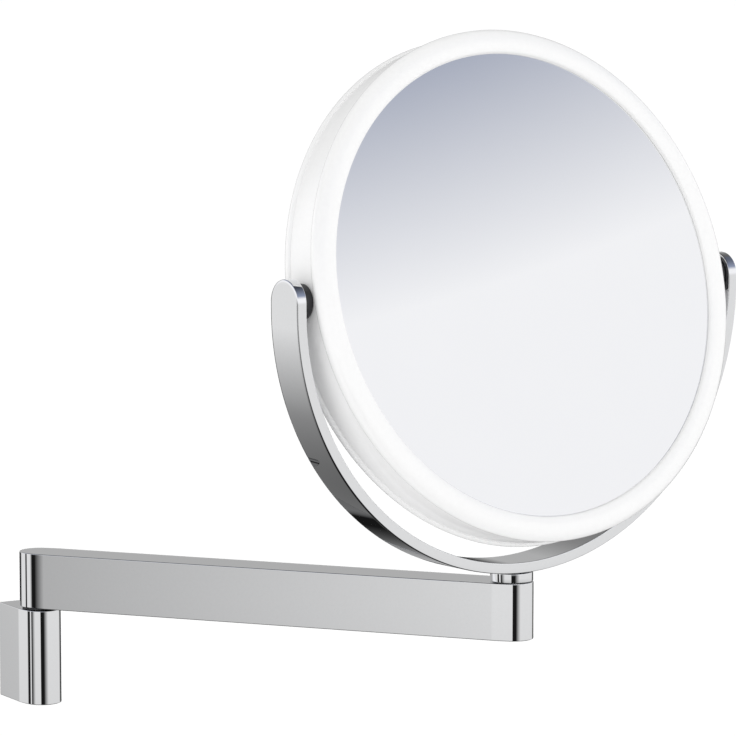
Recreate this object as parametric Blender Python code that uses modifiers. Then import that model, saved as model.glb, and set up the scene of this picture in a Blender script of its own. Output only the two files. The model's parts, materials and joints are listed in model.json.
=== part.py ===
"""Wall-mounted swing-arm shaving mirror, built as separate pieces in metres with +Z up.

The wall is the plane Y = 0 and the object stands out of it towards -Y. The origin is the middle
of the bracket's back face. Four groups of pieces turn against each other: the bracket on the
wall, the swing arm, the yoke on the arm's free end, and the double-faced mirror in the yoke.
Each group is parented to an empty that stands on its joint's axis.
"""
import math

import bmesh
import bpy
from mathutils import Matrix, Vector

ASSEMBLY_NAME = "swing_arm_mirror"
CUTTER_NAME = "cutters"
ORIGIN = (0.0, 0.0, 0.0)

# ---- joint positions in the pose that is built
ARM_SWING = math.radians(52.3)    # arm direction, turned out of the wall plane
YOKE_TURN = math.radians(4.9)     # yoke plane against the wall plane
MIRROR_TILT = math.radians(14.0)  # mirror leaning back

# ---- sizes used everywhere
GAP = 0.0003                      # space left between two pieces that touch
PAST = 0.002                      # how far a cutter reaches past the face it cuts
SMALL_EDGE = 0.0003               # chamfer on small turned pieces
SPRING_T = 0.0009                 # thickness of both spring washers
PLUG_H = 0.0022                   # height of both closing plugs

# ---- wall bracket
BRACKET_R = 0.0086                # half of its width and radius of its round front
BRACKET_DEPTH = 0.0213            # wall to arm pivot axis
BRACKET_TOP = 0.0195
BRACKET_BOTTOM = -0.0195
BRACKET_EDGE = 0.0004
POCKET_HALF_W = 0.0063
POCKET_HALF_H = 0.0165
POCKET_DEPTH = 0.010
PLATE_T = 0.0025
PLATE_HOLE_R = 0.0022
PLATE_SINK_R = 0.0034             # countersink at the plate's front face
PLATE_SINK_H = 0.0012
PLATE_HOLES_Z = (0.0095, -0.0055)
LUG_TOP = -0.0090
LUG_BOTTOM = -0.0132
LUG_DEPTH = 0.0085
GRUB_R = 0.0020
GRUB_SOCKET_R = 0.0011
GRUB_SOCKET_H = 0.0018
GRUB_POINT_H = 0.0007             # height of its cone point
GRUB_Y = 0.0161                   # from the pivot axis towards the wall

# ---- arm pivot in the bracket
BOLT_R = 0.0030
BOLT_HEAD_R = 0.0050
BOLT_HEAD_H = 0.0040
BOLT_SOCKET_R = 0.0024
BOLT_SOCKET_H = 0.0022
BOLT_TIP_PLAY = 0.0008            # from the bolt's tip to the end of its insert
BUSH_R = 0.0045
BUSH_UPPER_LOW = 0.0098
BUSH_FLANGE_R = 0.0076
BUSH_FLANGE_T = 0.0006            # lower bush only
BRIDGE_TOP = 0.0095               # solid metal between the two bushes
BRIDGE_BORE_R = 0.0036
COUNTERBORE_R = 0.0063
COUNTERBORE_TOP = -0.0090
COUNTERBORE_PLAY = 0.0006         # room around the washer and the flange

# ---- swing arm
ARM_R = 0.0086                    # half of its thickness and radius of its ends
ARM_LENGTH = 0.204                # pivot axis to swivel axis
ARM_BOTTOM = 0.0206
ARM_TOP = 0.0432
ARM_EDGE = 0.0005
INSERT_R = 0.0050
INSERT_TOP = 0.0332
NUT_POCKET_R = 0.0066
NUT_POCKET_TOP = 0.0310
RECESS_R = 0.0062                 # for the bearing washer in the arm's top
RECESS_H = 0.0015

# ---- swivel and yoke
STUD_R = 0.0030
STUD_LOW = 0.0240
STUD_TOP = 0.0515                 # riveted flush inside the yoke
NUT_R = 0.0057                    # across the corners, halved
NUT_H = 0.0040
COLLAR_R = 0.0084
COLLAR_EDGE = 0.0002              # chamfer on the collar and the spacers
YOKE_R = 0.1082                   # outer radius of the bent band
YOKE_T = 0.00425
YOKE_HALF_W = 0.0088
YOKE_BOTTOM = 0.0475
PIVOT_Z = 0.1582                  # height of the mirror's tilt axis
PIN_R = 0.0025
PIN_INNER = 0.0840
PIN_OUTER = 0.1062
SPACER_R = 0.0068
SPACER_INNER = 0.0995
FRICTION_R = 0.0051
FRICTION_T = 0.0009

# ---- mirror
RIM_R = 0.1000                    # largest radius of the two bezel rings
BAND_R = 0.0992
BAND_INNER_R = 0.0964
BAND_HALF_H = 0.0066
LIP_R = 0.0902                    # visible edge of the glass
SKIRT_LOW = 0.0052                # inner end of a bezel ring's skirt
BEZEL_SHOULDER_R = 0.0993         # where a bezel ring meets the hoop
GLASS_R = 0.0920
GLASS_FACE = 0.0100               # height of the glass face at its edge
FLAT_GLASS_T = 0.0030
CURVED_GLASS_T = 0.0020
CURVED_SAG = 0.0048
CURVED_EDGE = 0.0910              # the dish starts inside this radius
CORE_R = 0.0961
CORE_HALF_H = 0.0015
PAD_R = 0.0740
BOSS_INNER = 0.0790
BOSS_OUTER = 0.0959
BOSS_HALF_W = 0.0060
BOSS_HALF_H = 0.0049
BOSS_FLOOR = 0.0020               # solid end of the boss behind the insert
INSERT_PIVOT_R = 0.0037

# ---- smoothness
ROUND_STEPS = 24                  # sides of small round pieces
RING_STEPS = 32                   # sides of the collar and the spacers
BIG_STEPS = 64                    # sides of the mirror's round pieces
END_STEPS = 16                    # pieces in each half-round end
ARC_STEPS = 48                    # pieces in the yoke's bend
SHARP_ANGLE = math.radians(35.0)
WELD = 0.00001

# ---- colour, metallic value and roughness of each material
MATERIALS = {
    "chrome": ((0.83, 0.84, 0.85), 1.0, 0.06),
    "steel": ((0.62, 0.62, 0.63), 1.0, 0.35),
    "nylon": ((0.12, 0.12, 0.13), 0.0, 0.50),
    "brass": ((0.78, 0.62, 0.32), 1.0, 0.30),
    "rubber": ((0.05, 0.05, 0.05), 0.0, 0.80),
    "white_plastic": ((0.93, 0.93, 0.93), 0.0, 0.15),
    "mirror_glass": ((0.86, 0.88, 0.92), 1.0, 0.02),
    "foam": ((0.35, 0.35, 0.36), 0.0, 0.90),
    "core_plastic": ((0.80, 0.80, 0.80), 0.0, 0.45),
}

QUARTER = math.radians(90.0)
HALF = math.radians(180.0)
SIDES = ((-1, "left"), (1, "right"))


# ---------------------------------------------------------------- scene, materials, placing

def clear_scene():
    """Start from an empty scene."""
    for item in list(bpy.data.objects):
        bpy.data.objects.remove(item, do_unlink=True)


def get_collection(name):
    """The collection of that name, made at its first use."""
    group = bpy.data.collections.get(name)
    if group is None:
        group = bpy.data.collections.new(name)
        bpy.context.scene.collection.children.link(group)
    return group


def get_material(name):
    """The material of that name, made at its first use."""
    material = bpy.data.materials.get(name)
    if material is None:
        colour, metallic, roughness = MATERIALS[name]
        material = bpy.data.materials.new(name)
        material.use_nodes = True
        shader = material.node_tree.nodes["Principled BSDF"]
        shader.inputs["Base Color"].default_value = (*colour, 1.0)
        shader.inputs["Metallic"].default_value = metallic
        shader.inputs["Roughness"].default_value = roughness
    return material


def place(item, group_name, parent, location, turn):
    """Link an object and stand it in its parent's frame."""
    get_collection(group_name).objects.link(item)
    item.parent = parent
    item.location = location
    item.rotation_euler = turn
    return item


def add_empty(name, parent=None, location=ORIGIN, turn=ORIGIN):
    """A frame that pieces are parented to."""
    item = bpy.data.objects.new(name, None)
    item.empty_display_size = 0.02
    return place(item, ASSEMBLY_NAME, parent, location, turn)


def add_piece(item, parent, material, location=ORIGIN, turn=ORIGIN):
    """Put a finished piece into the assembly."""
    item.data.materials.append(get_material(material))
    return place(item, ASSEMBLY_NAME, parent, location, turn)


def cut(target, cutter, location=ORIGIN, turn=ORIGIN, operation="DIFFERENCE"):
    """Cut a piece with a hidden body that stands in the same frame."""
    place(cutter, CUTTER_NAME, target.parent, location, turn)
    cutter.hide_render = True
    cutter.display_type = "WIRE"
    change = target.modifiers.new(cutter.name, "BOOLEAN")
    change.operation = operation
    change.solver = "EXACT"
    change.object = cutter


def round_edges(item, width, segments=1):
    """Break the sharp edges of a piece that isn't cut yet."""
    bevel = item.modifiers.new("edges", "BEVEL")
    bevel.width = width
    bevel.segments = segments
    bevel.limit_method = "ANGLE"
    bevel.angle_limit = math.radians(40.0)
    return item


# ---------------------------------------------------------------- basic shapes

def from_shell(name, shell):
    """Make an object from a bmesh and shade its round faces smooth."""
    bmesh.ops.recalc_face_normals(shell, faces=shell.faces)
    mesh = bpy.data.meshes.new(name)
    shell.to_mesh(mesh)
    shell.free()
    mesh.shade_smooth()
    mesh.set_sharp_from_angle(angle=SHARP_ANGLE)
    return bpy.data.objects.new(name, mesh)


def make_solid(name, drawing):
    """Turn a drawn curve, or a profile with its Screw modifier, into a welded mesh object."""
    bpy.context.scene.collection.objects.link(drawing)
    depsgraph = bpy.context.evaluated_depsgraph_get()
    mesh = bpy.data.meshes.new_from_object(drawing.evaluated_get(depsgraph))
    bpy.data.objects.remove(drawing, do_unlink=True)
    shell = bmesh.new()
    shell.from_mesh(mesh)
    bpy.data.meshes.remove(mesh)
    bmesh.ops.remove_doubles(shell, verts=shell.verts, dist=WELD)
    return from_shell(name, shell)


def box(name, low, high):
    """A box between two corners."""
    size = Vector(high) - Vector(low)
    middle = 0.5 * (Vector(high) + Vector(low))
    shell = bmesh.new()
    bmesh.ops.create_cube(shell, size=1.0,
                          matrix=Matrix.Translation(middle) @ Matrix.Diagonal((*size, 1.0)))
    return from_shell(name, shell)


def bar(name, radius, low, high, sides=ROUND_STEPS):
    """A plain round bar along Z."""
    shell = bmesh.new()
    bmesh.ops.create_cone(shell, cap_ends=True, segments=sides, radius1=radius, radius2=radius,
                          depth=high - low, matrix=Matrix.Translation((0.0, 0.0, 0.5 * (low + high))))
    return from_shell(name, shell)


def turned(name, profile, steps=ROUND_STEPS):
    """A profile of (radius, height) points, listed from the bottom up its outer side.

    The points are reversed, because a Screw profile runs down its outer side. A profile that
    doesn't start on the axis is a ring, so its last point joins its first."""
    points = [(radius, 0.0, height) for radius, height in reversed(profile)]
    edges = [(index, index + 1) for index in range(len(points) - 1)]
    if profile[0][0] > 0.0:
        edges.append((len(points) - 1, 0))
    mesh = bpy.data.meshes.new(name)
    mesh.from_pydata(points, edges, [])
    drawing = bpy.data.objects.new(name, mesh)
    screw = drawing.modifiers.new("turn", "SCREW")
    screw.axis = "Z"
    screw.angle = 2.0 * math.pi
    screw.steps = steps
    screw.render_steps = steps
    screw.use_merge_vertices = True
    screw.merge_threshold = WELD
    return make_solid(name, drawing)


def tube(name, inner, outer, low, high, steps=ROUND_STEPS):
    """A plain ring along Z."""
    return turned(name, [(inner, low), (outer, low), (outer, high), (inner, high)], steps)


def flat_piece(name, outline, low, high):
    """A flat outline of (x, y) points with a thickness along Z."""
    curve = bpy.data.curves.new(name, "CURVE")
    curve.dimensions = "2D"
    curve.fill_mode = "BOTH"
    curve.extrude = 0.5 * (high - low)
    spline = curve.splines.new("POLY")
    spline.points.add(len(outline) - 1)
    for point, spot in zip(spline.points, outline):
        point.co = (spot[0], spot[1], 0.0, 1.0)
    spline.use_cyclic_u = True
    item = make_solid(name, bpy.data.objects.new(name, curve))
    shell = bmesh.new()
    shell.from_mesh(item.data)
    bmesh.ops.dissolve_limit(shell, angle_limit=math.radians(1.0), verts=shell.verts,
                             edges=shell.edges)
    bmesh.ops.translate(shell, vec=(0.0, 0.0, 0.5 * (low + high)), verts=shell.verts)
    shell.to_mesh(item.data)
    shell.free()
    return item


def arc(centre, radius, start, end, steps):
    """Points along an arc."""
    points = []
    for step in range(steps + 1):
        angle = start + (end - start) * step / steps
        points.append((centre[0] + radius * math.cos(angle), centre[1] + radius * math.sin(angle)))
    return points


# ---------------------------------------------------------------- bracket on the wall

def build_bracket_body(wall):
    """Upright block with a half-round front, hollow at the back and bored for the pivot."""
    outline = arc(ORIGIN, BRACKET_R, math.pi, 2.0 * math.pi, END_STEPS)
    outline += [(BRACKET_R, BRACKET_DEPTH), (-BRACKET_R, BRACKET_DEPTH)]
    body = flat_piece("bracket_body", outline, BRACKET_BOTTOM, BRACKET_TOP)
    round_edges(body, BRACKET_EDGE)
    add_piece(body, wall, "chrome")
    pocket = box("cut_pocket", (-POCKET_HALF_W, BRACKET_DEPTH - POCKET_DEPTH, -POCKET_HALF_H),
                 (POCKET_HALF_W, BRACKET_DEPTH + PAST, POCKET_HALF_H))
    cut(body, pocket)
    sleeve = BUSH_R + GAP
    under = BRACKET_BOTTOM - PAST
    bore = [(0.0, under), (COUNTERBORE_R, under), (COUNTERBORE_R, COUNTERBORE_TOP),
            (sleeve, COUNTERBORE_TOP), (sleeve, 0.0), (BRIDGE_BORE_R, 0.0),
            (BRIDGE_BORE_R, BRIDGE_TOP), (sleeve, BRIDGE_TOP), (sleeve, BRACKET_TOP + PAST),
            (0.0, BRACKET_TOP + PAST)]
    cut(body, turned("cut_pivot_bore", bore))
    hole = bar("cut_grub_hole", GRUB_R + GAP, under, -POCKET_HALF_H + 0.5 * PAST)
    cut(body, hole, (0.0, GRUB_Y, 0.0))


def build_wall_plate(wall):
    """Plate that is screwed to the wall, with a lug for the bracket's grub screw."""
    half = POCKET_HALF_W - GAP
    top = POCKET_HALF_H - GAP
    side_view = [(0.0, -top), (0.0, top), (-PLATE_T, top), (-PLATE_T, LUG_TOP),
                 (-LUG_DEPTH, LUG_TOP), (-LUG_DEPTH, LUG_BOTTOM), (-PLATE_T, LUG_BOTTOM),
                 (-PLATE_T, -top)]
    plate = flat_piece("wall_plate", side_view, -half, half)
    add_piece(plate, wall, "steel", (0.0, BRACKET_DEPTH, 0.0), (QUARTER, 0.0, QUARTER))
    flare = (PLATE_SINK_R - PLATE_HOLE_R) * PAST / PLATE_SINK_H
    sink = [(0.0, -PAST), (PLATE_HOLE_R, -PAST), (PLATE_HOLE_R, PLATE_T - PLATE_SINK_H),
            (PLATE_SINK_R + flare, PLATE_T + PAST), (0.0, PLATE_T + PAST)]
    for number, height in enumerate(PLATE_HOLES_Z):
        hole = turned("cut_plate_hole_%d" % (number + 1), sink)
        cut(plate, hole, (0.0, BRACKET_DEPTH, height), (QUARTER, 0.0, 0.0))


def build_grub_screw(wall):
    """Small socket screw that locks the bracket to its wall plate from below."""
    low = BRACKET_BOTTOM + GAP
    high = LUG_BOTTOM - GAP
    point = GRUB_R - GRUB_POINT_H
    profile = [(0.0, low + GRUB_SOCKET_H), (GRUB_SOCKET_R, low + GRUB_SOCKET_H),
               (GRUB_SOCKET_R, low), (GRUB_R - SMALL_EDGE, low), (GRUB_R, low + SMALL_EDGE),
               (GRUB_R, high - GRUB_POINT_H), (point, high), (0.0, high)]
    add_piece(turned("bracket_grub_screw", profile), wall, "steel", (0.0, GRUB_Y, 0.0))


def build_pivot_bushes(wall):
    """Flanged plastic bearings in the top and the bottom of the bracket's bore."""
    inner = BOLT_R + GAP
    seat = BRACKET_TOP + GAP
    top = ARM_BOTTOM - GAP
    upper = [(inner, BUSH_UPPER_LOW), (BUSH_R, BUSH_UPPER_LOW), (BUSH_R, seat),
             (BUSH_FLANGE_R, seat), (BUSH_FLANGE_R, top), (inner, top)]
    add_piece(turned("pivot_bush_upper", upper), wall, "nylon")
    seat = COUNTERBORE_TOP - GAP
    flange = COUNTERBORE_R - COUNTERBORE_PLAY
    lower = [(inner, seat - BUSH_FLANGE_T), (flange, seat - BUSH_FLANGE_T), (flange, seat),
             (BUSH_R, seat), (BUSH_R, -GAP), (inner, -GAP)]
    add_piece(turned("pivot_bush_lower", lower), wall, "nylon")


def build_pivot_cap(wall):
    """Plug that closes the bracket's counterbore from below."""
    cap = bar("pivot_cap", COUNTERBORE_R - GAP, BRACKET_BOTTOM, BRACKET_BOTTOM + PLUG_H)
    add_piece(round_edges(cap, SMALL_EDGE), wall, "nylon")


# ---------------------------------------------------------------- swing arm

def build_pivot_bolt(arm):
    """Bolt that the arm turns on and its spring washer, in the bracket's counterbore."""
    washer_top = COUNTERBORE_TOP - GAP - BUSH_FLANGE_T - GAP
    washer_low = washer_top - SPRING_T
    head_top = washer_low - GAP
    head_low = head_top - BOLT_HEAD_H
    tip = INSERT_TOP - BOLT_TIP_PLAY
    profile = [(0.0, head_low + BOLT_SOCKET_H), (BOLT_SOCKET_R, head_low + BOLT_SOCKET_H),
               (BOLT_SOCKET_R, head_low), (BOLT_HEAD_R - SMALL_EDGE, head_low),
               (BOLT_HEAD_R, head_low + SMALL_EDGE), (BOLT_HEAD_R, head_top),
               (BOLT_R, head_top), (BOLT_R, tip - SMALL_EDGE), (BOLT_R - SMALL_EDGE, tip),
               (0.0, tip)]
    add_piece(turned("pivot_bolt", profile), arm, "steel")
    outer = COUNTERBORE_R - COUNTERBORE_PLAY
    washer = tube("pivot_spring_washer", BOLT_R + GAP, outer, washer_low, washer_top)
    add_piece(washer, arm, "steel")


def build_arm_bar(arm):
    """Straight bar with half-round ends, bored from below at the pivot and at the swivel."""
    outline = arc((ARM_LENGTH, 0.0), ARM_R, -QUARTER, QUARTER, END_STEPS)
    outline += arc(ORIGIN, ARM_R, QUARTER, 3.0 * QUARTER, END_STEPS)
    body = flat_piece("arm_bar", outline, ARM_BOTTOM, ARM_TOP)
    round_edges(body, ARM_EDGE, 2)
    add_piece(body, arm, "chrome")
    under = ARM_BOTTOM - PAST
    cut(body, bar("cut_arm_insert_bore", INSERT_R + GAP, under, INSERT_TOP + GAP))
    floor = ARM_TOP - RECESS_H
    bore = [(0.0, under), (NUT_POCKET_R, under), (NUT_POCKET_R, NUT_POCKET_TOP),
            (STUD_R + GAP, NUT_POCKET_TOP), (STUD_R + GAP, floor), (RECESS_R, floor),
            (RECESS_R, ARM_TOP + PAST), (0.0, ARM_TOP + PAST)]
    cut(body, turned("cut_swivel_bore", bore), (ARM_LENGTH, 0.0, 0.0))


def build_arm_fittings(arm):
    """Threaded insert at the pivot end, and the bearing washer and plug at the swivel end."""
    insert = tube("arm_insert", BOLT_R + GAP, INSERT_R, ARM_BOTTOM + GAP, INSERT_TOP)
    add_piece(insert, arm, "brass")
    end = (ARM_LENGTH, 0.0, 0.0)
    washer = tube("swivel_washer", STUD_R + GAP, RECESS_R - GAP, ARM_TOP - RECESS_H + GAP, ARM_TOP)
    add_piece(washer, arm, "nylon", end)
    plug = bar("arm_end_plug", NUT_POCKET_R - GAP, ARM_BOTTOM, ARM_BOTTOM + PLUG_H)
    add_piece(round_edges(plug, SMALL_EDGE), arm, "nylon", end)


# ---------------------------------------------------------------- swivel and yoke

def build_swivel(yoke):
    """Collar, stud, spring washer and nut that hold the yoke on the arm."""
    low = ARM_TOP + GAP
    top = YOKE_BOTTOM - GAP
    shoulder = COLLAR_R - COLLAR_EDGE
    profile = [(STUD_R + GAP, low), (shoulder, low), (COLLAR_R, low + COLLAR_EDGE),
               (COLLAR_R, top - COLLAR_EDGE), (shoulder, top), (STUD_R + GAP, top)]
    add_piece(turned("swivel_collar", profile, RING_STEPS), yoke, "chrome")
    stud = bar("swivel_stud", STUD_R, STUD_LOW, STUD_TOP)
    add_piece(round_edges(stud, SMALL_EDGE), yoke, "steel")
    washer_top = NUT_POCKET_TOP - GAP
    washer_low = washer_top - SPRING_T
    washer = tube("swivel_spring_washer", STUD_R + GAP, NUT_R + GAP, washer_low, washer_top)
    add_piece(washer, yoke, "steel")
    nut_top = washer_low - GAP
    nut = bar("swivel_nut", NUT_R, nut_top - NUT_H, nut_top, 6)
    add_piece(nut, yoke, "steel")
    cut(nut, bar("cut_nut_bore", STUD_R + GAP, nut_top - NUT_H - PAST, nut_top + PAST))


def yoke_outline():
    """Front view of the band: a half circle with straight ends that run past the tilt axis."""
    centre = (0.0, YOKE_BOTTOM + YOKE_R)
    inner = YOKE_R - YOKE_T
    end = PIVOT_Z + YOKE_HALF_W + PAST
    outline = [(-YOKE_R, end)]
    outline += arc(centre, YOKE_R, math.pi, 2.0 * math.pi, ARC_STEPS)
    outline += [(YOKE_R, end), (inner, end)]
    outline += arc(centre, inner, 2.0 * math.pi, math.pi, ARC_STEPS)
    outline.append((-inner, end))
    return outline


def tip_waste_outline():
    """Side view of what is cut from the tips: a block with a half-round notch in its underside.

    The notch's first and last sides run on past the band, so that they cross its edges cleanly."""
    step = math.pi / END_STEPS
    lean = YOKE_HALF_W * (2.0 - math.cos(step))
    drop = -YOKE_HALF_W * math.sin(step)
    wide = YOKE_HALF_W + PAST
    high = YOKE_HALF_W + 2.0 * PAST
    notch = arc(ORIGIN, YOKE_HALF_W, step, math.pi - step, END_STEPS - 2)
    return [(lean, drop)] + notch + [(-lean, drop), (-wide, drop), (-wide, high), (wide, high),
                                     (wide, drop)]


def build_yoke_band(yoke):
    """Flat band bent to a U, with rounded tips and a hole at the bottom for the stud."""
    band = flat_piece("yoke_band", yoke_outline(), -YOKE_HALF_W, YOKE_HALF_W)
    add_piece(band, yoke, "chrome", ORIGIN, (QUARTER, 0.0, 0.0))
    axis = (0.0, 0.0, PIVOT_Z)
    wide = YOKE_R + PAST
    waste = flat_piece("cut_yoke_tips", tip_waste_outline(), -wide, wide)
    cut(band, waste, axis, (QUARTER, 0.0, QUARTER))
    floor = YOKE_BOTTOM + YOKE_T
    cut(band, bar("cut_stud_hole", STUD_R + GAP, YOKE_BOTTOM - PAST, floor + PAST))
    for side, word in SIDES:
        hole = bar("cut_yoke_pin_" + word, PIN_R + GAP, YOKE_R - YOKE_T - PAST, PIN_OUTER + GAP)
        cut(band, hole, axis, (0.0, side * QUARTER, 0.0))


def build_yoke_pivots(yoke):
    """Pin, spacer and friction ring at each end of the tilt axis."""
    axis = (0.0, 0.0, PIVOT_Z)
    top = YOKE_R - YOKE_T - GAP
    floor = SPACER_INNER + FRICTION_T + GAP
    shoulder = SPACER_R - COLLAR_EDGE
    profile = [(PIN_R + GAP, floor), (FRICTION_R + GAP, floor), (FRICTION_R + GAP, SPACER_INNER),
               (shoulder, SPACER_INNER), (SPACER_R, SPACER_INNER + COLLAR_EDGE),
               (SPACER_R, top - COLLAR_EDGE), (shoulder, top), (PIN_R + GAP, top)]
    for side, word in SIDES:
        turn = (0.0, side * QUARTER, 0.0)
        pin = bar("pivot_pin_" + word, PIN_R, PIN_INNER, PIN_OUTER)
        add_piece(round_edges(pin, SMALL_EDGE), yoke, "steel", axis, turn)
        spacer = turned("pivot_spacer_" + word, profile, RING_STEPS)
        add_piece(spacer, yoke, "nylon", axis, turn)
        ring = tube("friction_ring_" + word, PIN_R + GAP, FRICTION_R, SPACER_INNER,
                    SPACER_INNER + FRICTION_T)
        add_piece(ring, yoke, "rubber", axis, turn)


# ---------------------------------------------------------------- mirror

def build_rim_band(mirror):
    """Hoop that makes the side wall of the mirror, drilled for the two pivot pins."""
    band = tube("rim_band", BAND_INNER_R, BAND_R, -BAND_HALF_H, BAND_HALF_H, BIG_STEPS)
    add_piece(band, mirror, "white_plastic")
    for side, word in SIDES:
        hole = bar("cut_rim_pin_" + word, PIN_R + GAP, BAND_INNER_R - PAST, BAND_R + PAST)
        cut(band, hole, ORIGIN, (0.0, side * QUARTER, 0.0))


def bezel_profile():
    """Section of a bezel ring: skirt inside the hoop, rounded outer edge, lip over the glass."""
    seat = BAND_HALF_H + GAP
    under = GLASS_FACE + GAP
    wall = GLASS_R + GAP
    return [(wall, SKIRT_LOW), (CORE_R, SKIRT_LOW), (CORE_R, seat), (BEZEL_SHOULDER_R, seat),
            (RIM_R, 0.0086), (0.0997, 0.0098), (0.0986, 0.0110), (0.0966, 0.0117),
            (0.0940, 0.0119), (0.0916, 0.0116), (0.0904, 0.0108), (LIP_R, under), (wall, under)]


def build_bezels(mirror):
    """The same bezel ring on both faces, turned over for the back."""
    add_piece(turned("front_ring", bezel_profile(), BIG_STEPS), mirror, "white_plastic")
    rear = turned("rear_ring", bezel_profile(), BIG_STEPS)
    add_piece(rear, mirror, "white_plastic", ORIGIN, (HALF, 0.0, 0.0))


def build_front_glass(mirror):
    """Plain flat mirror glass and the pad behind it."""
    low = GLASS_FACE - FLAT_GLASS_T
    glass = bar("front_glass", GLASS_R, low, GLASS_FACE, BIG_STEPS)
    add_piece(round_edges(glass, SMALL_EDGE), mirror, "mirror_glass")
    pad = bar("front_pad", PAD_R, CORE_HALF_H + GAP, low - GAP, BIG_STEPS)
    add_piece(pad, mirror, "foam")


def dish(radius):
    """Height of the dished glass face at a radius."""
    inside = min(radius / CURVED_EDGE, 1.0)
    return GLASS_FACE - CURVED_SAG * (1.0 - inside ** 2)


def build_rear_glass(mirror):
    """Dished magnifying mirror glass and the pad behind it."""
    turn = (HALF, 0.0, 0.0)
    radii = [CURVED_EDGE * step / 5.0 for step in range(6)] + [GLASS_R]
    back = [(radius, dish(radius) - CURVED_GLASS_T) for radius in radii]
    face = [(radius, dish(radius)) for radius in reversed(radii)]
    add_piece(turned("rear_glass", back + face, BIG_STEPS), mirror, "mirror_glass", ORIGIN, turn)
    radii = [PAD_R * step / 4.0 for step in range(5)]
    base = [(0.0, CORE_HALF_H + GAP), (PAD_R, CORE_HALF_H + GAP)]
    top = [(radius, dish(radius) - CURVED_GLASS_T - 2.0 * GAP) for radius in reversed(radii)]
    add_piece(turned("rear_pad", base + top, BIG_STEPS), mirror, "foam", ORIGIN, turn)


def build_core_disc(mirror):
    """Stiff disc inside the hoop, with a boss and a threaded insert at each end of the axis."""
    disc = bar("core_disc", CORE_R, -CORE_HALF_H, CORE_HALF_H, BIG_STEPS)
    add_piece(disc, mirror, "core_plastic")
    for side, word in SIDES:
        turn = (0.0, side * QUARTER, 0.0)
        boss = box("add_boss_" + word, (-BOSS_HALF_H, -BOSS_HALF_W, BOSS_INNER),
                   (BOSS_HALF_H, BOSS_HALF_W, BOSS_OUTER))
        cut(disc, boss, ORIGIN, turn, "UNION")
        floor = BOSS_INNER + BOSS_FLOOR
        bore = bar("cut_boss_bore_" + word, INSERT_PIVOT_R + GAP, floor, BOSS_OUTER + PAST)
        cut(disc, bore, ORIGIN, turn)
        insert = tube("pivot_insert_" + word, PIN_R + GAP, INSERT_PIVOT_R, floor + GAP,
                      BOSS_OUTER - GAP)
        add_piece(insert, mirror, "brass", ORIGIN, turn)


# ---------------------------------------------------------------- assembly

def build_all():
    """Build the four groups, each on the empty that stands on its joint's axis."""
    clear_scene()
    wall = add_empty("wall_bracket", None, (0.0, -BRACKET_DEPTH, 0.0))
    build_wall_plate(wall)
    build_bracket_body(wall)
    build_grub_screw(wall)
    build_pivot_bushes(wall)
    build_pivot_cap(wall)
    arm = add_empty("arm_swing", wall, ORIGIN, (0.0, 0.0, -ARM_SWING))
    build_pivot_bolt(arm)
    build_arm_bar(arm)
    build_arm_fittings(arm)
    yoke = add_empty("yoke_swivel", arm, (ARM_LENGTH, 0.0, 0.0), (0.0, 0.0, ARM_SWING + YOKE_TURN))
    build_swivel(yoke)
    build_yoke_band(yoke)
    build_yoke_pivots(yoke)
    mirror = add_empty("mirror_tilt", yoke, (0.0, 0.0, PIVOT_Z), (QUARTER - MIRROR_TILT, 0.0, 0.0))
    build_rim_band(mirror)
    build_bezels(mirror)
    build_front_glass(mirror)
    build_rear_glass(mirror)
    build_core_disc(mirror)


build_all()
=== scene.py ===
"""Looks of the swing-arm mirror: fine chrome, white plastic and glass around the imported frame."""
import json
import math

import bpy
import bmesh
from mathutils import Matrix, Vector


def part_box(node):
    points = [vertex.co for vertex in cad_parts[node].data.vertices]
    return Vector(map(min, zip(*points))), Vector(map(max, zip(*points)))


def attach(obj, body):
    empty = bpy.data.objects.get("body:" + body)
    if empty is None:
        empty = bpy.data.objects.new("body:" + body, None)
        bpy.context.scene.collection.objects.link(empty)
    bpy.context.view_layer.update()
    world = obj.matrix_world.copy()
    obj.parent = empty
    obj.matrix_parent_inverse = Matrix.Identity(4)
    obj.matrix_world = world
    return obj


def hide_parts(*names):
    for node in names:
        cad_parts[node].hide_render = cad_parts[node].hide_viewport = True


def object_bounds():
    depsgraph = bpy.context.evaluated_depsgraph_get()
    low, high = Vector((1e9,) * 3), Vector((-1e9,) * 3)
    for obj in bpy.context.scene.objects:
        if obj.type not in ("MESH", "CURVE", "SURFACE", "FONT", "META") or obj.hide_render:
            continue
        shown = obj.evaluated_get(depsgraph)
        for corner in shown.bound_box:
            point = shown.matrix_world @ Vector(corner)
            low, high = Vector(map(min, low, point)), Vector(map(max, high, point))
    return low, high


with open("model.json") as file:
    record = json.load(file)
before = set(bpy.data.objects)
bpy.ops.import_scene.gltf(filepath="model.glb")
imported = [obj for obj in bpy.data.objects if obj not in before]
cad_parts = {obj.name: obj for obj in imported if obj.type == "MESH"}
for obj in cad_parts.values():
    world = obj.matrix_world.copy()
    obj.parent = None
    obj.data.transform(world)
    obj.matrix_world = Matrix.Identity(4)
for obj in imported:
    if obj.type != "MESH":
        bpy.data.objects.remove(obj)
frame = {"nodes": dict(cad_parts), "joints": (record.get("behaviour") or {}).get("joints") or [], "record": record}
cad_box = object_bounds()

# ---- camera, in front of the object and to its left
CAMERA_TARGET = Vector((0.07505, -0.15645, 0.12725))
CAMERA_AZIMUTH = math.radians(-31.37)
CAMERA_ELEVATION = math.radians(6.43)
CAMERA_DISTANCE = 1.43205
CAMERA_LENS = 180.92
CAMERA_SENSOR = 36.0

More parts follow.
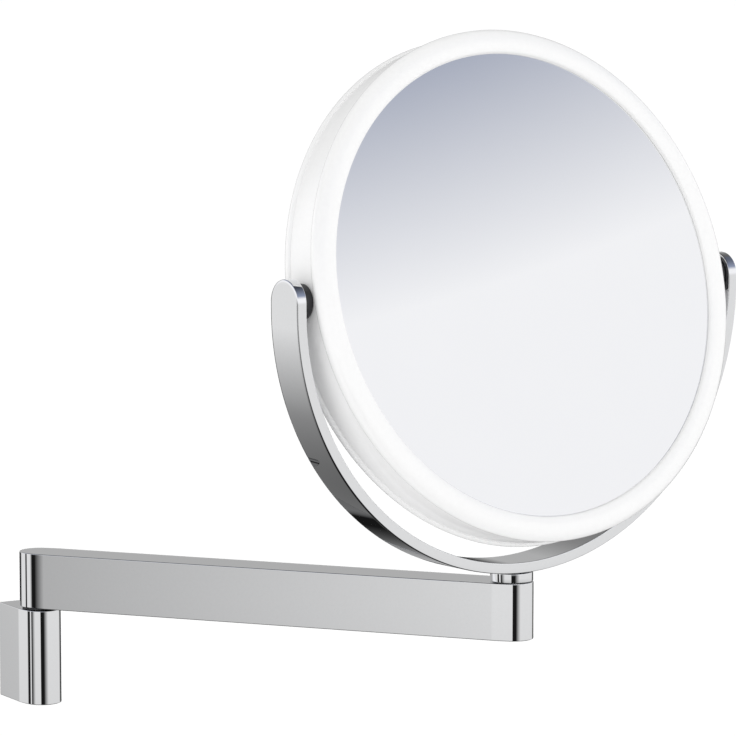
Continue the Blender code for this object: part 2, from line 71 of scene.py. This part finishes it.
# ---- stage
FLOOR_DROP = 0.12                 # floor below the lowest point of the object
FLOOR_SIZE = 60.0
FLOOR_SQUARES = 8                 # squares along each side of the floor
FLOOR_COLOUR = (0.90, 0.90, 0.90, 1.0)
FLOOR_GLOW = 0.12                 # keeps the floor as pale as the surroundings
FLOOR_ROUGHNESS = 0.9

# ---- light
# Light of the plain white surroundings, which falls on the object but is not reflected.
ROOM_LIGHT = 1.04
# Colours of the light from the studio's walls, which only reflections see.
WHITE = (1.00, 1.00, 1.02)
LIGHT = (0.80, 0.80, 0.80)
PALE = (0.45, 0.45, 0.45)
GREY = (0.25, 0.25, 0.25)
BLUE_GREY = (0.30, 0.34, 0.46)
DARK = (0.01, 0.01, 0.01)
# The walls from the floor up: degrees above the horizon, light in front of the object, light
# behind it, and whether the dark cards stand at that height.
WALLS = [
    (-45, DARK, DARK, False),
    (-30, GREY, GREY, True),
    (-10, LIGHT, DARK, True),
    (-5, LIGHT, DARK, True),
    (5, WHITE, PALE, False),
    (17, WHITE, PALE, False),
    (28, BLUE_GREY, GREY, False),
    (60, DARK, DARK, False),
]
# Dark cards round the object: left edge, right edge and how softly the right one fades, in
# degrees from the front towards +X.
CARDS = [(-115, -105, 1), (-95, -90, 20), (-35, -15, 25)]
CARD_EDGE = 1
# Where the front walls give way to those behind the object, and over how wide a fade.
BACK_LEFT, BACK_RIGHT, BACK_FADE = -165, 115, 15

# ---- fineness of the visible pieces
BIG_STEPS = 256                   # sides of the mirror's round pieces
RING_STEPS = 128                  # sides of the collar and the spacers
END_STEPS = 48                    # points in each half-round end
BEND_STEPS = 160                  # points in the yoke's bend
FILLET_STEPS = 5                  # points across a rounded edge
BEZEL_STEPS = 8                   # points between two anchors of a bezel's face
DISH_ROWS = 24                    # rings in the dished glass

# ---- details finer than the frame
BRACKET_FILLET = 0.0003
ARM_FILLET = 0.0003
YOKE_FILLET = 0.0004
YOKE_EASE = 0.0012                # how far the yoke's outer edge eases in from the side
RING_FILLET = 0.0003
SEAM = 0.00006                    # fine gap between two mirror pieces where it is seen
GLASS_FILLET = 0.0003
PIECE_GAP = 0.0003                # room between two mirror pieces where it is hidden
DISH_RIM = 0.001                  # flat edge round the dished glass
CENTRE_REACH = 0.001              # points this near the axis are at the glass's middle
BAND_FACES_APART = 0.002          # points this far inside the yoke's outside are on its inside
# Large radius that eases a flat side into its round end, and how far it runs.
ARM_EASE = (0.040, math.radians(11.0))
BRACKET_EASE = (0.020, math.radians(22.0))

# ---- meshes and finishes
WELD = 1e-7                       # points closer than this are one
SHARP_EDGE = math.radians(30.0)
NOISE_RANGE = (0.3, 0.7)          # where a noise value mostly lies
METAL_DETAIL = 6.0
METAL_RELIEF = 0.00002
PLASTIC_DETAIL = 5.0
PLASTIC_RELIEF = 0.00003
COAT_ROUGHNESS = 0.03


# ---------------------------------------------------------------- measuring the frame

def joint(name):
    """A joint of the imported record."""
    return next(entry for entry in frame["joints"] if entry["name"] == name)


def axes(origin, across, up):
    """Frame with its X along across and its Z along up."""
    x = across.normalized()
    z = (up - x * up.dot(x)).normalized()
    y = z.cross(x)
    matrix = Matrix((x, y, z)).transposed().to_4x4()
    matrix.translation = origin
    return matrix


def points_of(node, place):
    """A CAD node's points in a local frame."""
    inverse = place.inverted()
    return [inverse @ vertex.co for vertex in frame["nodes"][node].data.vertices]


def span(node, place):
    """Lowest and highest corner of a CAD node in a local frame."""
    spots = points_of(node, place)
    low = Vector([min(spot[axis] for spot in spots) for axis in range(3)])
    high = Vector([max(spot[axis] for spot in spots) for axis in range(3)])
    return low, high


def radii(node, place):
    """Smallest and largest distance of a CAD node's points from the local Z axis."""
    reach = [math.hypot(spot.x, spot.y) for spot in points_of(node, place)]
    return min(reach), max(reach)


UP = Vector((0.0, 0.0, 1.0))
PIVOT = Vector(joint("arm_swing")["pos_m"])
SWIVEL = Vector(joint("yoke_swivel")["pos_m"])
CENTRE = Vector(joint("mirror_tilt")["pos_m"])
TILT_AXIS = Vector(joint("mirror_tilt")["axis"]).normalized()
ALONG_ARM = Vector((SWIVEL.x - PIVOT.x, SWIVEL.y - PIVOT.y, 0.0))

GLASS_LOW, GLASS_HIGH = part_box("front_glass")
MIRROR_NORMAL = ((GLASS_LOW + GLASS_HIGH) * 0.5 - CENTRE).normalized()

WALL = axes(Vector((PIVOT.x, PIVOT.y, 0.0)), Vector((1.0, 0.0, 0.0)), UP)
ARM = axes(Vector((PIVOT.x, PIVOT.y, 0.0)), ALONG_ARM, UP)
SWIVEL_FRAME = axes(Vector((SWIVEL.x, SWIVEL.y, 0.0)), TILT_AXIS, UP)
MIRROR = axes(CENTRE, TILT_AXIS, MIRROR_NORMAL)
MIRROR_BACK = MIRROR @ Matrix.Rotation(math.pi, 4, "X")
PIVOTS = {
    "left": axes(CENTRE, UP, -TILT_AXIS),
    "right": axes(CENTRE, UP, TILT_AXIS),
}


# ---------------------------------------------------------------- mesh tools

def mesh_object(name, vertices, faces, place):
    """A smooth mesh object with its faces pointing out, standing in a local frame."""
    mesh = bpy.data.meshes.new(name)
    mesh.from_pydata([tuple(place @ Vector(spot)) for spot in vertices], [], faces)
    shell = bmesh.new()
    shell.from_mesh(mesh)
    bmesh.ops.remove_doubles(shell, verts=shell.verts, dist=WELD)
    bmesh.ops.recalc_face_normals(shell, faces=shell.faces)
    shell.to_mesh(mesh)
    shell.free()
    mesh.shade_smooth()
    mesh.set_sharp_from_angle(angle=SHARP_EDGE)
    item = bpy.data.objects.new(name, mesh)
    bpy.context.scene.collection.objects.link(item)
    return item


def keep_flats_flat(item):
    """Let the large faces set the shading, so that flat chrome reflects like a plane."""
    weighted = item.modifiers.new("flats", "WEIGHTED_NORMAL")
    weighted.keep_sharp = True
    weighted.weight = 100
    return item


def turned(name, profile, place, steps=RING_STEPS):
    """A closed section of (radius, height) points turned about the local Z axis."""
    vertices = []
    faces = []
    count = len(profile)
    for step in range(steps):
        angle = 2.0 * math.pi * step / steps
        for radius, height in profile:
            vertices.append((radius * math.cos(angle), radius * math.sin(angle), height))
    for step in range(steps):
        here = step * count
        after = (step + 1) % steps * count
        for index in range(count):
            following = (index + 1) % count
            corners = (here + index, after + index, after + following, here + following)
            if profile[index][0] > 0.0 or profile[following][0] > 0.0:
                faces.append(corners)
    return mesh_object(name, vertices, faces, place)


def fillet(corner, before, after, radius):
    """Points that round one corner of a section."""
    into = (Vector(before) - Vector(corner)).normalized()
    out = (Vector(after) - Vector(corner)).normalized()
    half = 0.5 * into.angle(out)
    reach = radius / math.tan(half)
    start = Vector(corner) + into * reach
    end = Vector(corner) + out * reach
    centre = Vector(corner) + (into + out).normalized() * (radius / math.sin(half))
    points = []
    for step in range(FILLET_STEPS + 1):
        share = step / FILLET_STEPS
        spot = start.lerp(end, share) - centre
        points.append(tuple(centre + spot.normalized() * radius))
    return points


def rounded_section(corners, radius):
    """A section with its corners off the axis rounded."""
    count = len(corners)
    section = []
    for index, corner in enumerate(corners):
        if corner[0] <= 0.0:
            section.append(corner)
            continue
        before = corners[index - 1]
        after = corners[(index + 1) % count]
        section += fillet(corner, before, after, radius)
    return section


def smooth_path(anchors, steps):
    """Points along a smooth curve through the anchors."""
    path = []
    last = len(anchors) - 1
    for index in range(last):
        before = Vector(anchors[max(index - 1, 0)])
        first = Vector(anchors[index])
        second = Vector(anchors[index + 1])
        after = Vector(anchors[min(index + 2, last)])
        for step in range(steps):
            t = step / steps
            curve = (first * 2.0 + (second - before) * t
                     + (before * 2.0 - first * 5.0 + second * 4.0 - after) * t * t
                     + (first * 3.0 - before - second * 3.0 + after) * t ** 3)
            path.append(tuple(curve * 0.5))
    path.append(tuple(anchors[-1]))
    return path


def fillet_levels(low, high, radius, ease=None):
    """(inset, height) pairs up the side of a piece with both edges rounded.

    The lower edge can run further in from the side than it rises."""
    quarter = [0.5 * math.pi * step / FILLET_STEPS for step in range(FILLET_STEPS + 1)]
    run = ease or radius
    lower = [(run * (1.0 - math.sin(turn)), low + radius * (1.0 - math.cos(turn)))
             for turn in quarter]
    upper = [(radius * (1.0 - math.sin(turn)), high - radius * (1.0 - math.cos(turn)))
             for turn in reversed(quarter)]
    return lower + upper


def paired_solid(name, loops, place):
    """A solid between stacked loops, whose caps join point i to its mirror point on each loop."""
    count = len(loops[0])
    vertices = [spot for loop in loops for spot in loop]
    faces = []
    for level in range(len(loops) - 1):
        base = level * count
        for index in range(count):
            after = (index + 1) % count
            faces.append((base + index, base + after, base + count + after, base + count + index))
    for base in (0, (len(loops) - 1) * count):
        for index in range(count // 2 - 1):
            other = count - 1 - index
            faces.append((base + index, base + index + 1, base + other - 1, base + other))
    return keep_flats_flat(mesh_object(name, vertices, faces, place))


def eased_end(radius, reach, ease):
    """Half of a round end: (distance along, half width), from the tip to where the flat begins.

    A small radius closes the tip and a large one eases it into the flat side."""
    large, run = ease
    small = large - (large - radius) / math.cos(run)
    small_centre = reach - small
    large_centre = small_centre - (large - small) * math.sin(run)
    points = []
    turn = 0.5 * math.pi - run
    for step in range(END_STEPS):
        angle = turn * (step + 0.5) / END_STEPS
        points.append((small_centre + small * math.cos(angle), small * math.sin(angle)))
    for step in range(END_STEPS // 2 + 1):
        angle = turn + run * step / (END_STEPS // 2)
        points.append((large_centre + large * math.cos(angle),
                       radius - large + large * math.sin(angle)))
    return points


def inset_loop(points, distance):
    """Move a closed anticlockwise outline inwards."""
    if distance <= 0.0:
        return list(points)
    moved = []
    count = len(points)
    for index, spot in enumerate(points):
        run = Vector(points[(index + 1) % count]) - Vector(points[index - 1])
        normal = Vector((-run.y, run.x)).normalized()
        moved.append(tuple(Vector(spot) + normal * distance))
    return moved


# ---------------------------------------------------------------- material tools

def new_material(name):
    """A node material and its main shader."""
    material = bpy.data.materials.new(name)
    material.use_nodes = True
    return material, material.node_tree.nodes["Principled BSDF"]


def noise(material, scale, detail, stretch=(1.0, 1.0, 1.0)):
    """Noise in the object's own metres."""
    nodes = material.node_tree.nodes
    links = material.node_tree.links
    place = nodes.new("ShaderNodeTexCoord")
    mapping = nodes.new("ShaderNodeMapping")
    mapping.inputs["Scale"].default_value = stretch
    pattern = nodes.new("ShaderNodeTexNoise")
    pattern.inputs["Scale"].default_value = scale
    pattern.inputs["Detail"].default_value = detail
    links.new(place.outputs["Object"], mapping.inputs["Vector"])
    links.new(mapping.outputs["Vector"], pattern.inputs["Vector"])
    return pattern.outputs["Fac"]


def spread(material, value, low, high):
    """Map a noise value to a range."""
    node = material.node_tree.nodes.new("ShaderNodeMapRange")
    node.inputs["From Min"].default_value = NOISE_RANGE[0]
    node.inputs["From Max"].default_value = NOISE_RANGE[1]
    node.inputs["To Min"].default_value = low
    node.inputs["To Max"].default_value = high
    material.node_tree.links.new(value, node.inputs["Value"])
    return node.outputs["Result"]


def tint(material, value, dark, light):
    """Mix two close colours by a noise value."""
    ramp = material.node_tree.nodes.new("ShaderNodeValToRGB")
    ramp.color_ramp.elements[0].position = NOISE_RANGE[0]
    ramp.color_ramp.elements[0].color = (*dark, 1.0)
    ramp.color_ramp.elements[1].position = NOISE_RANGE[1]
    ramp.color_ramp.elements[1].color = (*light, 1.0)
    material.node_tree.links.new(value, ramp.inputs["Fac"])
    return ramp.outputs["Color"]


def bump(material, shader, value, strength, depth):
    """Fine relief from a noise value."""
    node = material.node_tree.nodes.new("ShaderNodeBump")
    node.inputs["Strength"].default_value = strength
    node.inputs["Distance"].default_value = depth
    material.node_tree.links.new(value, node.inputs["Height"])
    material.node_tree.links.new(node.outputs["Normal"], shader.inputs["Normal"])


def metal(name, dark, light, rough_low, rough_high, scale, stretch=(1.0, 1.0, 1.0), relief=0.0):
    """A metal whose colour and gloss vary a little."""
    material, shader = new_material(name)
    links = material.node_tree.links
    pattern = noise(material, scale, METAL_DETAIL, stretch)
    links.new(tint(material, pattern, dark, light), shader.inputs["Base Color"])
    links.new(spread(material, pattern, rough_low, rough_high), shader.inputs["Roughness"])
    shader.inputs["Metallic"].default_value = 1.0
    if relief > 0.0:
        bump(material, shader, pattern, relief, METAL_RELIEF)
    return material


def plastic(name, dark, light, rough_low, rough_high, scale, relief, coat=0.0):
    """A plastic or rubber with a fine moulded surface."""
    material, shader = new_material(name)
    links = material.node_tree.links
    pattern = noise(material, scale, PLASTIC_DETAIL)
    links.new(tint(material, pattern, dark, light), shader.inputs["Base Color"])
    links.new(spread(material, pattern, rough_low, rough_high), shader.inputs["Roughness"])
    shader.inputs["Coat Weight"].default_value = coat
    shader.inputs["Coat Roughness"].default_value = COAT_ROUGHNESS
    bump(material, shader, pattern, relief, PLASTIC_RELIEF)
    return material


def make_materials():
    """Every finish on the object, by the record's slot names."""
    return {
        "chrome": metal("chrome", (0.87, 0.875, 0.885), (0.885, 0.89, 0.90), 0.010, 0.022, 900.0),
        "steel": metal("steel", (0.52, 0.52, 0.54), (0.66, 0.66, 0.67), 0.25, 0.42, 1500.0,
                       (1.0, 1.0, 6.0), 0.15),
        "brass": metal("brass", (0.72, 0.55, 0.27), (0.82, 0.66, 0.36), 0.22, 0.36, 1200.0,
                       (1.0, 1.0, 5.0), 0.15),
        "mirror_glass": metal("mirror_glass", (0.875, 0.88, 0.885), (0.88, 0.885, 0.89),
                              0.0, 0.015, 35.0),
        "white_plastic": plastic("white_plastic", (0.925, 0.925, 0.925), (0.94, 0.94, 0.94),
                                 0.16, 0.24, 600.0, 0.03, 0.6),
        "nylon": plastic("nylon", (0.020, 0.020, 0.022), (0.035, 0.035, 0.038),
                         0.40, 0.55, 2500.0, 0.30),
        "rubber": plastic("rubber", (0.012, 0.012, 0.012), (0.022, 0.022, 0.022),
                          0.65, 0.85, 3000.0, 0.45),
        "foam": plastic("foam", (0.10, 0.10, 0.105), (0.17, 0.17, 0.175),
                        0.85, 0.95, 1800.0, 0.80),
        "core_plastic": plastic("core_plastic", (0.58, 0.58, 0.58), (0.64, 0.64, 0.64),
                                0.35, 0.50, 900.0, 0.12),
    }


FINISH = make_materials()


def dress(item, body, slot, *nodes):
    """Give a fine piece its finish and its body, and let it stand for its CAD nodes."""
    item.data.materials.append(FINISH[slot])
    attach(item, body)
    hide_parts(*nodes)
    return item


# ---------------------------------------------------------------- bracket on the wall

def build_bracket():
    """Upright block with an eased half-round front and soft edges.

    It is solid: the pocket and the bores of its CAD node are not cut."""
    low, high = span("bracket_body", WALL)
    radius = high.x
    depth = high.y
    front = [(half, -along) for along, half in eased_end(radius, -low.y, BRACKET_EASE)]
    right = front + [(radius, depth)]
    outline = right + [(-x, y) for x, y in reversed(right)]
    loops = []
    for inset, height in fillet_levels(low.z, high.z, BRACKET_FILLET):
        loop = inset_loop(outline, inset)
        loops.append([(x, min(y, depth - inset), height) for x, y in loop])
    body = paired_solid("bracket_shell", loops, WALL)
    dress(body, "wall_bracket", "chrome", "bracket_body")


# ---------------------------------------------------------------- swing arm

def build_arm():
    """Straight bar whose flat sides ease into round ends.

    It is solid: the bores of its CAD node are not cut."""
    low, high = span("arm_bar", ARM)
    radius = high.y
    far = eased_end(radius, high.x, ARM_EASE)
    near = eased_end(radius, -low.x, ARM_EASE)
    side = far + [(-along, half) for along, half in reversed(near)]
    outline = side + [(x, -y) for x, y in reversed(side)]
    loops = []
    for inset, height in fillet_levels(low.z, high.z, ARM_FILLET):
        loops.append([(x, y, height) for x, y in inset_loop(outline, inset)])
    bar = paired_solid("arm_bar_shell", loops, ARM)
    dress(bar, "swing_arm", "chrome", "arm_bar")


def build_ring(name, body, slot, place, node):
    """A plain turned ring with rounded edges, the size of its CAD node."""
    inner, outer = radii(node, place)
    low, high = span(node, place)
    corners = [(inner, low.z), (outer, low.z), (outer, high.z), (inner, high.z)]
    section = rounded_section(corners, RING_FILLET)
    return dress(turned(name, section, place), body, slot, node)


# ---------------------------------------------------------------- yoke

def build_yoke():
    """Flat band bent to a U, with rounded edges and rounded tips."""
    low, high = span("yoke_band", SWIVEL_FRAME)
    outer = high.x
    half = high.y
    bend_z = low.z + outer
    tip_z = CENTRE.z
    thickness = outer - max(abs(spot.x) for spot in points_of("yoke_band", SWIVEL_FRAME)
                            if abs(abs(spot.x) - outer) > BAND_FACES_APART and spot.z > tip_z)
    straight = tip_z - bend_z

    def tip(inset):
        """(height past the tilt axis, half width) from the tip to the straight."""
        radius = half - inset
        steps = [0.5 * math.pi * (step + 0.5) / END_STEPS for step in range(END_STEPS)]
        return [(radius * math.cos(angle), radius * math.sin(angle)) for angle in steps]

    loops = []
    for inset, depth in fillet_levels(0.0, thickness, YOKE_FILLET, YOKE_EASE):
        radius = outer - depth
        side = []
        for rise, wide in tip(inset):
            side.append((radius, wide, tip_z + rise))
        side.append((radius, half - inset, tip_z))
        for step in range(BEND_STEPS + 1):
            angle = math.pi * step / BEND_STEPS
            side.append((radius * math.cos(angle), half - inset, bend_z - radius * math.sin(angle)))
        if straight > 0.0:
            side.append((-radius, half - inset, tip_z))
        for rise, wide in reversed(tip(inset)):
            side.append((-radius, wide, tip_z + rise))
        loops.append(side + [(x, -y, z) for x, y, z in reversed(side)])
    band = paired_solid("yoke_band_shell", loops, SWIVEL_FRAME)
    dress(band, "yoke", "chrome", "yoke_band")


# ---------------------------------------------------------------- mirror

def bezel_section():
    """Section of a bezel ring: a bright lip by the glass, a gently crowned face, a round edge."""
    lip, crest = radii("front_ring", MIRROR)
    low, high = span("front_ring", MIRROR)
    glass = span("front_glass", MIRROR)[1].z
    hoop_in, hoop_out = radii("rim_band", MIRROR)
    hoop_top = span("rim_band", MIRROR)[1].z
    wall = radii("front_glass", MIRROR)[1] + PIECE_GAP
    skirt = hoop_in - PIECE_GAP
    wide = crest - lip
    tall = high.z - glass
    anchors = [(hoop_out, hoop_top + SEAM), (crest - 0.02 * wide, glass - 1.30 * tall),
               (crest, glass - 0.75 * tall), (crest - 0.03 * wide, glass - 0.15 * tall),
               (crest - 0.15 * wide, glass + 0.50 * tall), (crest - 0.36 * wide, high.z - 0.08 * tall),
               (crest - 0.62 * wide, high.z), (crest - 0.84 * wide, high.z - 0.17 * tall),
               (lip + 0.05 * wide, high.z - 0.42 * tall), (lip, glass + SEAM)]
    face = smooth_path(anchors, BEZEL_STEPS)
    return [(wall, low.z), (skirt, low.z), (skirt, hoop_top + SEAM)] + face + [(wall, glass + SEAM)]


def build_mirror():
    """Hoop without its two pin holes, two bezel rings and two glasses."""
    section = bezel_section()
    front = turned("front_bezel", section, MIRROR, BIG_STEPS)
    dress(front, "mirror", "white_plastic", "front_ring")
    rear = turned("rear_bezel", section, MIRROR_BACK, BIG_STEPS)
    dress(rear, "mirror", "white_plastic", "rear_ring")

    inner, outer = radii("rim_band", MIRROR)
    low, high = span("rim_band", MIRROR)
    corners = [(inner, low.z), (outer, low.z), (outer, high.z), (inner, high.z)]
    hoop = turned("rim_hoop", rounded_section(corners, SEAM), MIRROR, BIG_STEPS)
    dress(hoop, "mirror", "white_plastic", "rim_band")

    edge = radii("front_glass", MIRROR)[1]
    low, high = span("front_glass", MIRROR)
    corners = [(0.0, low.z), (edge, low.z), (edge, high.z), (0.0, high.z)]
    glass = turned("front_mirror_glass", rounded_section(corners, GLASS_FILLET), MIRROR, BIG_STEPS)
    dress(glass, "mirror", "mirror_glass", "front_glass")

    edge = radii("rear_glass", MIRROR_BACK)[1]
    low, high = span("rear_glass", MIRROR_BACK)
    middle = max(spot.z for spot in points_of("rear_glass", MIRROR_BACK)
                 if math.hypot(spot.x, spot.y) < CENTRE_REACH)
    sag = high.z - middle
    thick = middle - low.z
    dish_edge = edge - DISH_RIM
    spots = [dish_edge * row / DISH_ROWS for row in range(DISH_ROWS + 1)] + [edge]
    face = [(r, high.z - sag * (1.0 - min(r / dish_edge, 1.0) ** 2)) for r in spots]
    back = [(r, z - thick) for r, z in face]
    dished = turned("rear_mirror_glass", back + list(reversed(face)), MIRROR_BACK, BIG_STEPS)
    dress(dished, "mirror", "mirror_glass", "rear_glass")


# ---------------------------------------------------------------- carried-over pieces

def dress_frame():
    """Give every CAD node its finish."""
    for entry in frame["record"]["subparts"]:
        node = frame["nodes"][entry["node"]]
        node.data.materials.clear()
        node.data.materials.append(FINISH[entry["material_slot"]])


# ---------------------------------------------------------------- stage, light and camera

def build_floor():
    """Plain pale floor below the object."""
    low = cad_box[0]
    shell = bmesh.new()
    bmesh.ops.create_grid(shell, x_segments=FLOOR_SQUARES, y_segments=FLOOR_SQUARES,
                          size=0.5 * FLOOR_SIZE)
    mesh = bpy.data.meshes.new("floor")
    shell.to_mesh(mesh)
    shell.free()
    floor = bpy.data.objects.new("floor", mesh)
    floor.location = (0.0, 0.0, low.z - FLOOR_DROP)
    bpy.context.scene.collection.objects.link(floor)
    material, shader = new_material("pale_floor")
    shader.inputs["Base Color"].default_value = FLOOR_COLOUR
    shader.inputs["Roughness"].default_value = FLOOR_ROUGHNESS
    shader.inputs["Emission Color"].default_value = (1.0, 1.0, 1.0, 1.0)
    shader.inputs["Emission Strength"].default_value = FLOOR_GLOW
    mesh.materials.append(material)
    floor.visible_glossy = False


def wall_row(front, behind, cards):
    """Colours round the studio at one height, as (degrees, colour) from left to right."""
    row = [(-180, behind), (BACK_LEFT, behind), (BACK_LEFT + BACK_FADE, front)]
    if cards:
        for left, right, fade in CARDS:
            row += [(left - CARD_EDGE, front), (left, DARK), (right, DARK), (right + fade, front)]
    return row + [(BACK_RIGHT - BACK_FADE, front), (BACK_RIGHT, behind), (180, behind)]


def build_world():
    """White surroundings, with a studio of light and dark walls that only reflections see."""
    world = bpy.data.worlds.new("studio")
    bpy.context.scene.world = world
    world.use_nodes = True
    nodes = world.node_tree.nodes
    links = world.node_tree.links
    nodes.clear()
    out = nodes.new("ShaderNodeOutputWorld")
    mix = nodes.new("ShaderNodeMixShader")
    plain = nodes.new("ShaderNodeBackground")
    plain.inputs["Color"].default_value = (1.0, 1.0, 1.0, 1.0)
    plain.inputs["Strength"].default_value = ROOM_LIGHT
    studio = nodes.new("ShaderNodeBackground")
    path = nodes.new("ShaderNodeLightPath")
    direct = math_node(nodes, links, "LESS_THAN", path.outputs["Diffuse Depth"], 0.5)
    seen = math_node(nodes, links, "MULTIPLY", path.outputs["Is Glossy Ray"], direct)
    links.new(seen, mix.inputs["Fac"])
    links.new(plain.outputs["Background"], mix.inputs[1])
    links.new(studio.outputs["Background"], mix.inputs[2])
    links.new(mix.outputs["Shader"], out.inputs["Surface"])

    place = nodes.new("ShaderNodeTexCoord")
    parts = nodes.new("ShaderNodeSeparateXYZ")
    links.new(place.outputs["Generated"], parts.inputs["Vector"])
    forward = math_node(nodes, links, "MULTIPLY", parts.outputs["Y"], -1.0)
    azimuth = math_node(nodes, links, "ARCTAN2", parts.outputs["X"], forward)
    turn = math_node(nodes, links, "DIVIDE", azimuth, 2.0 * math.pi)
    share = math_node(nodes, links, "ADD", turn, 0.5)
    rise = math_node(nodes, links, "ARCSINE", parts.outputs["Z"], 0.0)

    colour = None
    below = None
    for degrees, front, behind, cards in WALLS:
        ramp = nodes.new("ShaderNodeValToRGB")
        fill_ramp(ramp, [((turned + 180.0) / 360.0, (*light, 1.0))
                         for turned, light in wall_row(front, behind, cards)])
        links.new(share, ramp.inputs["Fac"])
        if colour is None:
            colour = ramp.outputs["Color"]
        else:
            between = nodes.new("ShaderNodeMapRange")
            between.inputs["From Min"].default_value = math.radians(below)
            between.inputs["From Max"].default_value = math.radians(degrees)
            links.new(rise, between.inputs["Value"])
            row = nodes.new("ShaderNodeMix")
            row.data_type = "RGBA"
            links.new(between.outputs["Result"], row.inputs["Factor"])
            links.new(colour, row.inputs["A"])
            links.new(ramp.outputs["Color"], row.inputs["B"])
            colour = row.outputs["Result"]
        below = degrees
    links.new(colour, studio.inputs["Color"])


def math_node(nodes, links, operation, first, second):
    """One sum of the world's shading."""
    node = nodes.new("ShaderNodeMath")
    node.operation = operation
    for socket, value in zip(node.inputs, (first, second)):
        if isinstance(value, float):
            socket.default_value = value
        else:
            links.new(value, socket)
    return node.outputs["Value"]


def fill_ramp(ramp, stops):
    """Set a colour ramp's stops."""
    elements = ramp.color_ramp.elements
    elements[0].position = stops[0][0]
    elements[0].color = stops[0][1]
    elements[1].position = stops[-1][0]
    elements[1].color = stops[-1][1]
    for position, colour in stops[1:-1]:
        elements.new(position).color = colour


def build_camera():
    """Camera on its target, from a little above and to the left."""
    back = Vector((math.sin(CAMERA_AZIMUTH) * math.cos(CAMERA_ELEVATION),
                   -math.cos(CAMERA_AZIMUTH) * math.cos(CAMERA_ELEVATION),
                   math.sin(CAMERA_ELEVATION)))
    data = bpy.data.cameras.new("camera")
    data.lens = CAMERA_LENS
    data.sensor_width = CAMERA_SENSOR
    camera = bpy.data.objects.new("camera", data)
    camera.location = CAMERA_TARGET + back * CAMERA_DISTANCE
    camera.rotation_mode = "QUATERNION"
    camera.rotation_quaternion = (-back).to_track_quat("-Z", "Y")
    bpy.context.scene.collection.objects.link(camera)
    bpy.context.scene.camera = camera


dress_frame()
build_bracket()
build_arm()
build_yoke()
build_mirror()
build_ring("collar_ring", "yoke", "chrome", SWIVEL_FRAME, "swivel_collar")
build_ring("spacer_ring_left", "yoke", "nylon", PIVOTS["left"], "pivot_spacer_left")
build_ring("spacer_ring_right", "yoke", "nylon", PIVOTS["right"], "pivot_spacer_right")
build_floor()
build_world()
build_camera()
bpy.context.scene.view_settings.view_transform = "Standard"
